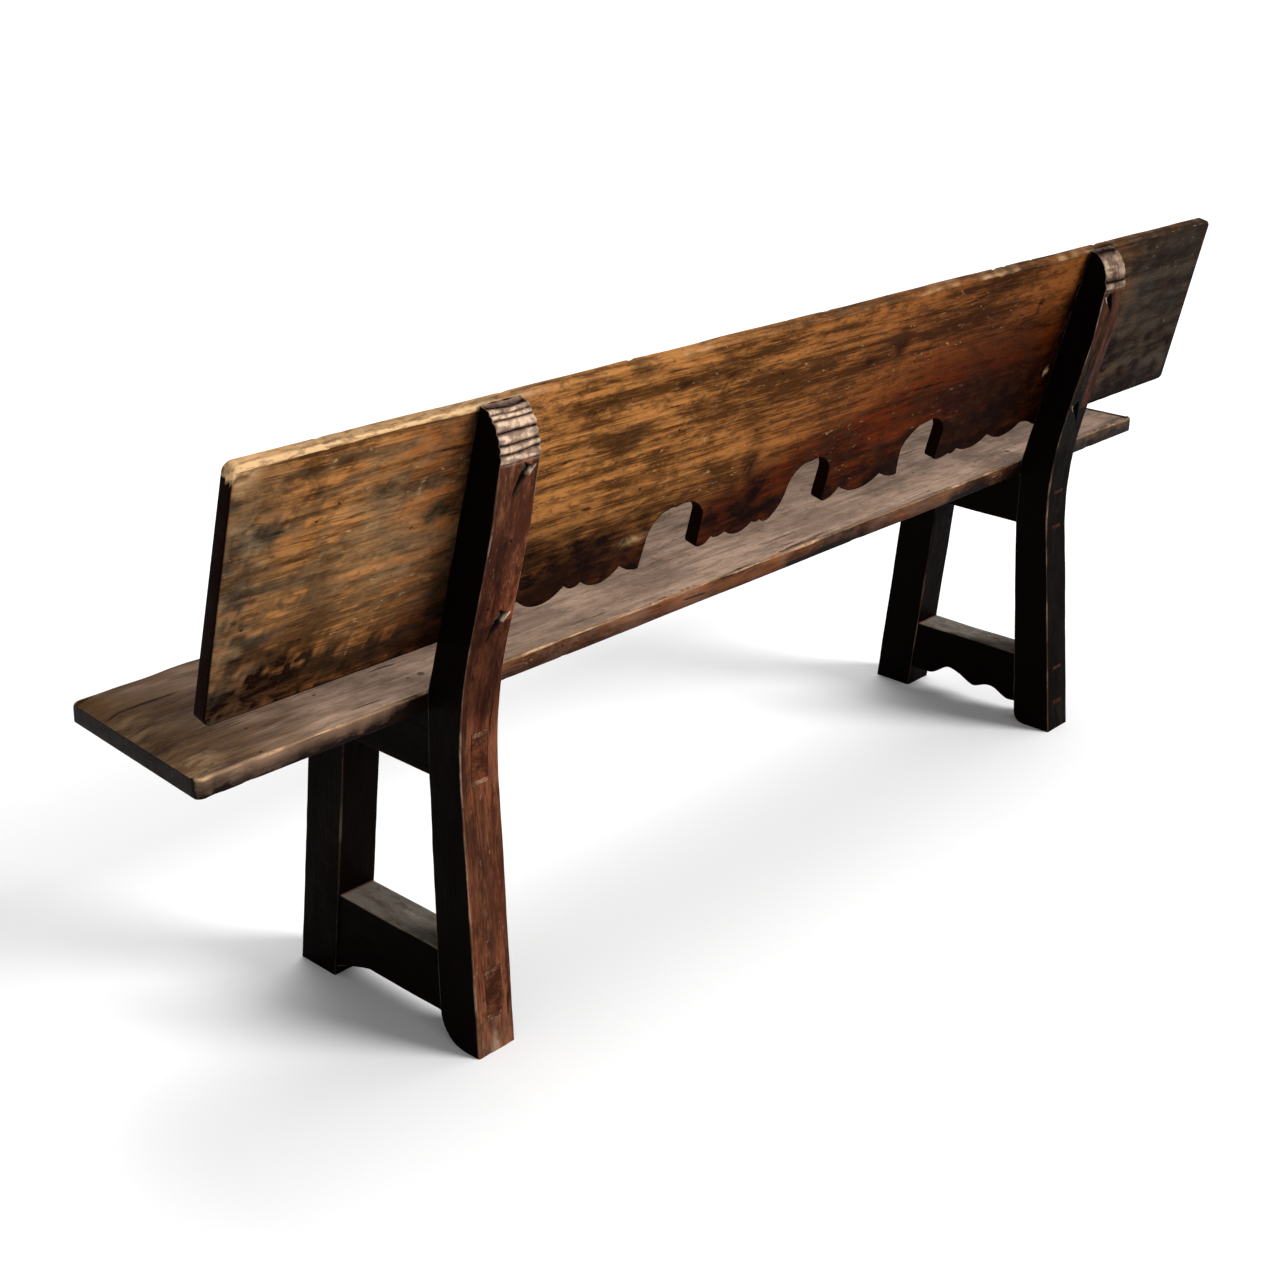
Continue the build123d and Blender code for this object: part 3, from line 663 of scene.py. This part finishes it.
def upright_marks(seed, is_post, dark):
    """Wear and painted light of a post or leg: bare wood on arrises, reeds and foot with a painted glint at
    each nail pocket, painted shade on the side and front faces and inside the nail pockets, and darker reed
    grooves. dark darkens the rear face below the scroll; on the legs that is painted shade under the seat.
    """

    def marks(rings, ux, ud, reed, cut, painted_glint, socket):
        height = rings[..., 2]
        ragged = ripple(rings, (0.02, 0.02, 0.07), seed + 5)
        corner = (np.abs(ux) > 0.05) & (np.abs(ud) > 0.05)
        side = np.abs(ux) > 0.9
        scroll = smooth(*SCROLL_START, height) if is_post else 0 * height
        rear = np.clip(ud, 0, 1)
        arris = corner * (0.05 + 0.22 * smooth(-0.3, 1.3, ragged)) * np.where(ud > 0, 1, 0.5)
        bare = arris * (1 if is_post else 0.08 + 0.40 * smooth(0.30, 0.16, height))
        uneven = 0.3 + 0.7 * smooth(-0.8, 0.6, ripple(rings, (0.03, 0.03, 0.009), seed + 8))
        crowns = scroll * rear * smooth(0.3, 0.95, reed) * uneven * (1 - 0.6 * dark)
        bare = bare + crowns * (0.65 + 0.35 * smooth(-0.8, 0.8, ragged))
        foot = smooth(0.085, 0.01, height) * rear * (1 - dark)
        # The pockets' painted glint is added to the bare wood here.
        bare = bare + foot * (0.03 + 0.22 * smooth(-0.6, 1.2, ragged)) + painted_glint
        # Painted shade: side faces and front faces are darkened, and so is the inside of each nail pocket.
        soot_and_shade = side + np.clip(-ud, 0, 1) * (0.9 if is_post else 0.72) + smooth(0.0005, 0.003, cut) * 0.85
        soot_and_shade = soot_and_shade + scroll * rear * smooth(0.4, 0.02, reed) + socket * 0.8
        streaks = ripple(rings, (0.012, 0.03, 0.22), seed + 6)
        dusk = smooth(0.40, 0.48, height) * smooth(0.74, 0.64, height)
        dusk = dusk * np.where(height > 0.57, 0.34 * smooth(-0.012, 0.006, rings[..., 0]), 0.60)
        soot_and_shade = soot_and_shade + np.minimum(0.3 * smooth(0.2, 1.4, streaks) + dusk, 0.58) * rear
        # The dark setting darkens the rear face below the scroll: on the legs this is painted shade under the
        # seat.
        soot_and_shade = soot_and_shade + dark * rear * (0.45 + 0.55 * smooth(0.64, 0.50, height)) * smooth(0.782, 0.770, height)
        grey = scroll * rear * 0.35
        red = 0.6 + 0.3 * np.clip(ripple(rings, (0.03, 0.05, 0.3), seed + 7), -1, 1)
        red = red - 0.35 * smooth(0.36, 0.15, height) - 0.35 * smooth(0.66, 0.74, height) + 0.5 * dusk * rear
        return {"bare": bare, "soot_and_shade": soot_and_shade, "grey": grey, "red": red}

    return marks


def rear_post(side, material, seed):
    """A curved rear post with reeded scroll, rounded toe and gouged nail pockets."""
    line, reeds = post_rear(side)
    front_line = post_front(side)
    top = line[-1, 1]
    heights = np.concatenate([
        np.arange(0, 0.05, 0.002), np.arange(0.05, 0.52, 0.0032), np.arange(0.52, 0.60, 0.0012),
        np.arange(0.60, 0.71, 0.0032), np.arange(0.71, 0.76, 0.0012), np.arange(0.76, top, 0.0007),
        top - np.array([0.0004, 0.0]), socket_heights(),
    ])
    heights = np.unique(np.round(heights, 6))
    heights[-1] = top
    rear = np.interp(heights, line[:, 1], line[:, 0])
    reed = np.interp(heights, line[:, 1], reeds)
    front = np.interp(heights, front_line[:, 1], front_line[:, 0])
    wear = upright_marks(seed, True, 0.0 if side == "left" else 0.95)
    rings, marks = upright(True, side, heights, front, rear, reed, seed, wear, pockets(side))
    skin(f"{side}_worn_post", rings, marks, material, f"{side}_rear_post")


def front_leg(side, material, seed):
    """A raking square leg under the seat."""
    heights = np.concatenate([np.arange(0, SEAT_BOTTOM, 0.0035), [SEAT_BOTTOM], socket_heights()])
    heights = np.unique(np.round(heights, 6))
    rear = leg_rear(heights)
    # A dark setting of 1 paints shade on the legs' rear faces, which lie under the seat.
    wear = upright_marks(seed, False, 1.0)
    rings, marks = upright(
        False, side, heights, rear - LEG_DEPTH, rear, heights * 0, seed, wear,
        lambda x, height: (0 * x * height, 0 * x * height),
    )
    skin(f"{side}_worn_leg", rings, marks, material, f"{side}_front_leg")


def rail(side, kind, material, seed):
    """A rail as rings from the leg's front face to the post's rear face: at each height a ring lies a share
    of the way between the two uprights, and beyond their shoulders it narrows to the tenon."""
    line = post_rear(side)[0]
    front_line = post_front(side)
    low, high = (BEARER_BOTTOM, SEAT_BOTTOM) if kind == "bearer" else (STRETCHER_BOTTOM, STRETCHER_TOP)
    tenon_low = TENONS[kind]
    tenon_high = tenon_low + TENON_HEIGHT
    stops = np.concatenate([[0.0, 0.5, 1.0], 1 + np.linspace(0, 1, 90), [2.0, 2.5, 3.0]])
    thick = np.zeros(len(stops))
    thick[3:-3] = 1.0
    share = np.clip(stops - 1, 0, 1)
    bottom = np.full(len(stops), low)
    if kind == "stretcher" and side == "left":
        start = leg_rear(low)
        length = np.interp(low, front_line[:, 1], front_line[:, 0]) - start
        rise = np.clip(share * length / SPUR_LENGTH, 0, 1)
        bottom = low - SPUR_DROP * (1 - rise) ** 1.25
    if kind == "stretcher" and side == "right":
        places = np.array([0.0] + [place for place, rise in SCALLOPS] + [1.0])
        rises = np.array([0.0] + [rise for place, rise in SCALLOPS] + [0.0])
        waves = np.interp(share, places, rises)
        bottom = low + SCALLOP_HEIGHT * blurred(np.pad(waves, 6, "edge"), 2.6, 6)
    floor = np.where(thick > 0, bottom, tenon_low)[:, None]
    ceiling = np.where(thick > 0, high, tenon_high)[:, None]
    half = np.where(thick > 0, HALF_RAIL, TENON_HALF)[:, None]
    round_off = np.where(thick > 0, 0.0025, 0.0003)[:, None]

    run = np.linspace(-1, 1, 13)
    turn = np.linspace(0, np.pi / 2, 5)[1:-1]
    flat, bend = run * 0, turn * 0
    rise, fall = np.sin(turn), np.cos(turn)
    # one turn round the section: each point of its core, and the way its rounded corner stands out from it
    bx = np.concatenate([run, bend + 1, flat + 1, bend + 1, -run, bend - 1, flat - 1, bend - 1])
    bz = np.concatenate([flat + 1, bend + 1, -run, bend - 1, flat - 1, bend - 1, run, bend + 1])
    ux = np.concatenate([flat, rise, flat + 1, fall, flat, -rise, flat - 1, -fall])
    uz = np.concatenate([flat + 1, fall, flat, -rise, flat - 1, -fall, flat, rise])
    x = bx * (half - round_off) + ux * round_off
    centre, tall = (floor + ceiling) / 2, (ceiling - floor) / 2
    z = centre + bz * (tall - round_off) + uz * round_off
    leg_back = leg_rear(z)
    post_face = np.interp(z, front_line[:, 1], front_line[:, 0])
    post_back = np.interp(z, line[:, 1], line[:, 0]) - TENON_SETBACK
    gates = np.stack([leg_back - LEG_DEPTH + TENON_SETBACK, leg_back, post_face, post_back])
    step = np.clip(stops.astype(int), 0, 2)
    part = (stops - step)[:, None]
    rows = np.arange(len(stops))
    y = gates[step, rows] * (1 - part) + gates[step + 1, rows] * part
    place = np.stack([x, y, z], -1)
    visible = (thick > 0)[:, None] * smooth(0.0, 0.03, np.minimum(share, 1 - share))[:, None]
    sink = 0.0011 * visible * np.clip(0.3 + 0.3 * ripple(place, (0.04, 0.12, 0.04), seed), 0, 1)
    place[..., 0] -= ux * sink
    place[..., 2] -= uz * sink
    ragged = ripple(place, (0.02, 0.05, 0.02), seed + 1)
    corner = (np.abs(ux) > 0.05) & (np.abs(uz) > 0.05)
    top_face = np.clip(uz, 0, 1)
    dark = 0.0 if side == "left" else 1.0
    # Tenon ends are darkened: at the legs as much as the legs' front faces, which is painted shade; at the
    # posts lightly on the left and strongly on the right.
    tenon_soot_and_shade = (thick == 0) * np.where(stops <= 1, 0.72, 0.3 + 0.6 * dark)
    # Painted shade: the rail's side faces and underside are darkened.
    marks = {
        "bare": corner * smooth(0.0, 1.3, ragged) * 0.14,
        "soot_and_shade": (thick > 0)[:, None] * ((np.abs(ux) > 0.9) + np.clip(-uz, 0, 1) * 0.9) + tenon_soot_and_shade[:, None],
        "grey": top_face * visible,
        "red": 0.6 + 0 * x,
    }
    ends = place[[0, -1]].copy()
    ends[..., 2] = (tenon_low + tenon_high) / 2
    ends[..., 1] = np.stack([
        leg_rear(ends[0, :, 2]) - LEG_DEPTH + TENON_SETBACK,
        np.interp(ends[1, :, 2], line[:, 1], line[:, 0]) - TENON_SETBACK,
    ])
    rings = np.concatenate([ends[:1], place, ends[1:]])
    rings[..., 0] += TRESTLE[side]
    rings[..., 1] += SEAT_REAR
    marks = {key: np.concatenate([value[:1], value, value[-1:]]) for key, value in marks.items()}
    node = f"{side}_seat_bearer" if kind == "bearer" else f"{side}_stretcher"
    skin(f"{side}_worn_{kind}", rings, marks, material, node)


def make(tree, kind, inputs=None, **settings):
    """Adds a node. Each input is a number, a colour, a vector or another node's output."""
    node = tree.nodes.new(kind)
    for key, value in settings.items():
        setattr(node, key, value)
    for key, value in (inputs or {}).items():
        if isinstance(value, bpy.types.NodeSocket):
            tree.links.new(value, node.inputs[key])
        else:
            node.inputs[key].default_value = value
    return node


def mixed(tree, share, first, second, mode="MIX"):
    """Colour that goes from the first to the second with the share."""
    node = make(tree, "ShaderNodeMix", {0: share, 6: first, 7: second}, data_type="RGBA", blend_type=mode)
    return node.outputs[2]


def ramped(tree, value, low, high, start=0.0, end=1.0):
    """Value stretched from the range low to high onto start to end, with soft ends."""
    limits = {0: value, 1: low, 2: high, 3: start, 4: end}
    return make(tree, "ShaderNodeMapRange", limits, interpolation_type="SMOOTHSTEP").outputs[0]


def summed(tree, operation, first, second):
    """One sum of two numbers, such as ADD or MULTIPLY, held between 0 and 1."""
    return make(tree, "ShaderNodeMath", {0: first, 1: second}, operation=operation, use_clamp=True).outputs[0]


def mottle(tree, place, stretch, scale, detail=5.0, roughness=0.6, distortion=0.0, shift=(0, 0, 0)):
    """Cloudy noise stretched along the grain."""
    mapping = make(tree, "ShaderNodeMapping", {"Vector": place, "Scale": stretch, "Location": shift})
    noise = make(
        tree,
        "ShaderNodeTexNoise",
        {
            "Vector": mapping.outputs[0],
            "Scale": scale,
            "Detail": detail,
            "Roughness": roughness,
            "Distortion": distortion,
        },
    )
    return noise.outputs[0]


def shade(colour):
    """An opaque colour."""
    return (*colour, 1.0)


def old_wood(name, grain, tones, gloss, stained, fleck_and_glint, shine):
    """Old waxed wood. Streaks and fibres run along the grain, with clouded stains, cracks and pale scuffs,
    the scuffs in part painted glints. The surface's own marks bring in bare wood (with painted glints at the
    nail pockets), soot with painted shade, grey weathering that on the seat's top is in part a painted
    sheen, and a redder polish."""
    material = bpy.data.materials.new(name)
    material.use_nodes = True
    tree = material.node_tree
    shader = tree.nodes["Principled BSDF"]
    place = make(tree, "ShaderNodeTexCoord").outputs["Object"]
    bare, soot_and_shade, grey, red = (
        make(tree, "ShaderNodeAttribute", attribute_name=mark).outputs["Fac"]
        for mark in ("bare", "soot_and_shade", "grey", "red")
    )

    def drawn(share):
        """Scale that draws a pattern out along the grain."""
        return tuple(share if axis == grain else 1.0 for axis in "XYZ")

    figure = mottle(tree, place, drawn(0.06), 60.0, 9.0, 0.66, 0.4)
    fibres = mottle(tree, place, drawn(0.05), 420.0, 3.0, 0.6)
    clouds = mottle(tree, place, drawn(0.4), 8.0, 10.0, 0.68, 0.5)
    stains = mottle(tree, place, drawn(0.55), 21.0, 12.0, 0.74, 0.35, (3, 1, 7))
    smears = mottle(tree, place, drawn(0.4), 85.0, 8.0, 0.72, 0.3, (8, 5, 2))
    scuffs = mottle(tree, place, drawn(0.3), 170.0, 4.0, 0.7, 0.4, (5, 2, 1))
    cracks = mottle(tree, place, drawn(0.09), 80.0, 4.0, 0.55, 0.4, (1, 9, 4))
    dotted = make(tree, "ShaderNodeMapping", {"Vector": place, "Scale": drawn(0.6)})
    dots = make(tree, "ShaderNodeTexVoronoi", {"Vector": dotted.outputs[0], "Scale": 60.0})
    chance = make(tree, "ShaderNodeSeparateColor", {0: dots.outputs["Color"]}).outputs[0]
    pits = ramped(tree, dots.outputs["Distance"], 0.12, 0.06)
    pits = summed(tree, "MULTIPLY", pits, ramped(tree, chance, 0.78, 0.8))

    lightness = summed(tree, "MULTIPLY", figure, 0.36)
    lightness = summed(tree, "ADD", lightness, summed(tree, "MULTIPLY", fibres, 0.20))
    lightness = summed(tree, "ADD", lightness, summed(tree, "MULTIPLY", clouds, 0.44))
    light = ramped(tree, lightness, 0.44, 0.57)
    wood = mixed(tree, light, shade(tones["dark"]), shade(tones["pale"]))
    polish = mixed(tree, light, shade(tones["red_dark"]), shade(tones["red"]))
    wood = mixed(tree, red, wood, polish)
    dull = mixed(tree, light, shade(tones["grey_dark"]), shade(tones["grey"]))
    wood = mixed(tree, grey, wood, dull)
    wood = mixed(tree, ramped(tree, stains, 0.505, 0.60, 0.0, stained * 0.8), wood, shade(tones["stain"]))
    wood = mixed(tree, ramped(tree, smears, 0.50, 0.63, 0.0, stained), wood, shade(tones["stain"]))
    # The soot mark pulls the colour to the soot tone. It holds real soot, grime and dark joints, and also
    # painted shade on side, front and under faces, inside the nail pockets and where the posts cast shadows.
    sooted_and_shaded = summed(tree, "MULTIPLY", soot_and_shade, ramped(tree, smears, 0.62, 0.42, 0.8, 1.2))
    sooted_and_shaded = summed(tree, "ADD", sooted_and_shaded, ramped(tree, soot_and_shade, 0.75, 1.0, 0.0, 0.3))
    wood = mixed(tree, sooted_and_shaded, wood, shade(tones["soot_and_shade"]))
    slit = summed(tree, "MULTIPLY", ramped(tree, cracks, 0.36, 0.31), ramped(tree, clouds, 0.44, 0.54))
    slit = summed(tree, "ADD", slit, pits)
    wood = mixed(tree, summed(tree, "MULTIPLY", slit, 0.85), wood, shade(tones["soot_and_shade"]))
    worn = summed(tree, "MULTIPLY", bare, ramped(tree, scuffs, 0.38, 0.56, 0.5, 1.2))
    wood = mixed(tree, worn, wood, shade(tones["bare"]))
    # Pale flecks in the bare tone: partly scratches, partly painted glints of light.
    flecks = ramped(tree, scuffs, 0.63, 0.69, 0.0, fleck_and_glint)
    flecks = summed(tree, "MULTIPLY", flecks, ramped(tree, clouds, 0.6, 0.42))
    flecks = summed(tree, "MULTIPLY", flecks, ramped(tree, soot_and_shade, 0.65, 0.25))
    wood = mixed(tree, flecks, wood, shade(tones["bare"]))
    tree.links.new(wood, shader.inputs["Base Color"])

    dulled = ramped(tree, stains, 0.35, 0.65, gloss[0], gloss[1])
    dulled = summed(tree, "ADD", dulled, summed(tree, "MULTIPLY", worn, 0.25))
    tree.links.new(dulled, shader.inputs["Roughness"])
    relief = summed(tree, "MULTIPLY", fibres, 0.2)
    relief = summed(tree, "ADD", relief, summed(tree, "MULTIPLY", stains, 0.45))
    relief = summed(tree, "ADD", relief, summed(tree, "MULTIPLY", smears, 0.35))
    relief = summed(tree, "SUBTRACT", relief, summed(tree, "MULTIPLY", slit, 0.4))
    bump = make(tree, "ShaderNodeBump", {"Strength": 0.8, "Distance": 0.0036, "Height": relief})
    tree.links.new(bump.outputs[0], shader.inputs["Normal"])
    shader.inputs["Specular IOR Level"].default_value = shine
    return material


def forged_iron():
    """Dark hammered iron with a little rust in the hollows."""
    material = bpy.data.materials.new("forged_iron")
    material.use_nodes = True
    tree = material.node_tree
    shader = tree.nodes["Principled BSDF"]
    place = make(tree, "ShaderNodeTexCoord").outputs["Object"]
    hammer = mottle(tree, place, (1, 1, 1), 320.0, 3.0, 0.5)
    rust = mottle(tree, place, (1, 1, 1), 700.0, 5.0, 0.7, 0.4, (2, 2, 2))
    iron, rusty = shade((0.035, 0.032, 0.030)), shade((0.11, 0.045, 0.02))
    colour = mixed(tree, ramped(tree, rust, 0.5, 0.68), iron, rusty)
    tree.links.new(colour, shader.inputs["Base Color"])
    tree.links.new(ramped(tree, rust, 0.4, 0.7, 0.4, 0.8), shader.inputs["Roughness"])
    bump = make(tree, "ShaderNodeBump", {"Strength": 0.5, "Distance": 0.0008, "Height": hammer})
    tree.links.new(bump.outputs[0], shader.inputs["Normal"])
    shader.inputs["Metallic"].default_value = 0.8
    return material


BACK_TONES = {
    "dark": (0.062, 0.022, 0.0045), "pale": (0.37, 0.150, 0.040), "red": (0.100, 0.0145, 0.0010),
    "red_dark": (0.020, 0.0030, 0.0006), "grey": (0.060, 0.046, 0.031), "grey_dark": (0.016, 0.012, 0.008),
    "stain": (0.034, 0.0135, 0.0050), "soot_and_shade": (0.0050, 0.0013, 0.0007), "bare": (0.60, 0.38, 0.19),
}
SEAT_TONES = {
    "dark": (0.030, 0.013, 0.005), "pale": (0.105, 0.051, 0.018), "red": (0.185, 0.055, 0.016),
    "red_dark": (0.045, 0.012, 0.0035), "grey": (0.34, 0.225, 0.160), "grey_dark": (0.19, 0.122, 0.086),
    "stain": (0.10, 0.062, 0.042), "soot_and_shade": (0.006, 0.003, 0.002), "bare": (0.52, 0.32, 0.17),
}
TRESTLE_TONES = {
    "dark": (0.052, 0.018, 0.009), "pale": (0.165, 0.062, 0.031), "red": (0.175, 0.046, 0.018),
    "red_dark": (0.042, 0.0095, 0.0045), "grey": (0.23, 0.205, 0.17), "grey_dark": (0.13, 0.11, 0.09),
    "stain": (0.030, 0.011, 0.006), "soot_and_shade": (0.0022, 0.0010, 0.0007), "bare": (0.60, 0.43, 0.30),
}
WEDGE_TONES = dict(TRESTLE_TONES, pale=(0.26, 0.14, 0.08))
DARK_WEDGE_TONES = dict(TRESTLE_TONES, dark=(0.015, 0.006, 0.003), pale=(0.04, 0.015, 0.008))
back_wood = old_wood("amber_back_wood", "X", BACK_TONES, (0.36, 0.55), 0.65, 0.4, 0.006)
seat_wood = old_wood("greyed_seat_wood", "X", SEAT_TONES, (0.38, 0.55), 0.5, 0.3, 0.03)
trestle_wood = old_wood("dark_trestle_wood", "Z", TRESTLE_TONES, (0.36, 0.55), 0.7, 0.15, 0.008)
rail_wood = old_wood("dark_rail_wood", "Y", TRESTLE_TONES, (0.4, 0.58), 0.45, 0.15, 0.008)
wedge_wood = old_wood("wedge_end_wood", "Y", WEDGE_TONES, (0.45, 0.6), 0.8, 0.5, 0.008)
dark_wedge_wood = old_wood("dark_wedge_wood", "Y", DARK_WEDGE_TONES, (0.45, 0.6), 0.8, 0.1, 0.008)
nail_iron = forged_iron()

back_plank(back_wood)
seat_plank(seat_wood)
for number, side in enumerate(SIDES):
    rear_post(side, trestle_wood, 100 + 40 * number)
    front_leg(side, trestle_wood, 120 + 40 * number)
    for kind in TENONS:
        rail(side, kind, rail_wood, 200 + 40 * number + len(kind))
for name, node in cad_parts.items():
    for material, side, ending in (
        (wedge_wood, "left", "wedges"), (dark_wedge_wood, "right", "wedges"), (nail_iron, "", "nails"),
    ):
        if name.startswith(side) and name.endswith(ending):
            node.data.materials.clear()
            node.data.materials.append(material)


def pale_floor():
    """A wide pale floor under the bench."""
    mesh = bpy.data.meshes.new("pale_floor")
    corners = np.array([(-1, -1, 0), (1, -1, 0), (1, 1, 0), (-1, 1, 0)]) * FLOOR_REACH
    mesh.from_pydata(corners, [], [(0, 1, 2, 3)])
    material = bpy.data.materials.new("pale_floor")
    material.use_nodes = True
    shader = material.node_tree.nodes["Principled BSDF"]
    shader.inputs["Base Color"].default_value = shade((0.93, 0.93, 0.93))
    shader.inputs["Roughness"].default_value = 0.9
    shader.inputs["Specular IOR Level"].default_value = 0.1
    mesh.materials.append(material)
    floor = bpy.data.objects.new("pale_floor", mesh)
    bpy.context.scene.collection.objects.link(floor)


def studio_light():
    """A wide soft light from behind the bench on its right, a softer one from above, and a surround that
    lights dimly but looks white."""
    for name, strength, spread, toward in (
        ("soft_key", 3.2, 24, (-0.45, 0.74, 0.56)), ("soft_top", 1.6, 50, (-0.45, -0.20, 0.90)),
    ):
        light = bpy.data.lights.new(name, "SUN")
        light.energy = strength
        light.angle = radians(spread)
        lamp = bpy.data.objects.new(name, light)
        bpy.context.scene.collection.objects.link(lamp)
        lamp.rotation_euler = Vector(toward).to_track_quat("Z", "Y").to_euler()
    world = bpy.data.worlds.new("surround")
    world.use_nodes = True
    background = world.node_tree.nodes["Background"]
    background.inputs["Color"].default_value = shade((1.0, 1.0, 1.0))
    rays = make(world.node_tree, "ShaderNodeLightPath")
    strength = ramped(world.node_tree, rays.outputs["Is Camera Ray"], 0.0, 1.0, 0.4, 1.0)
    world.node_tree.links.new(strength, background.inputs["Strength"])
    bpy.context.scene.world = world


def photo_camera():
    """Camera behind the bench's left end, looking down along it."""
    turn, tip, roll = CAMERA_TURN, CAMERA_TIP, CAMERA_ROLL
    ahead = np.array([-np.sin(turn) * np.cos(tip), -np.cos(turn) * np.cos(tip), np.sin(tip)])
    right = np.cross(ahead, (0, 0, 1))
    right /= np.linalg.norm(right)
    up = np.cross(right, ahead)
    level = np.cos(roll) * right + np.sin(roll) * up
    tall = -np.sin(roll) * right + np.cos(roll) * up
    lens = bpy.data.cameras.new("photo_camera")
    lens.sensor_width = 36.0
    lens.lens = CAMERA_FOCAL / PHOTO_WIDTH * lens.sensor_width
    lens.shift_y = -0.1
    lens.clip_end = 500.0
    camera = bpy.data.objects.new("photo_camera", lens)
    bpy.context.scene.collection.objects.link(camera)
    camera.matrix_world = Matrix((
        *((level[axis], tall[axis], -ahead[axis], CAMERA_PLACE[axis]) for axis in range(3)),
        (0, 0, 0, 1),
    ))
    bpy.context.scene.camera = camera


pale_floor()
studio_light()
photo_camera()
bpy.context.scene.view_settings.view_transform = "Standard"
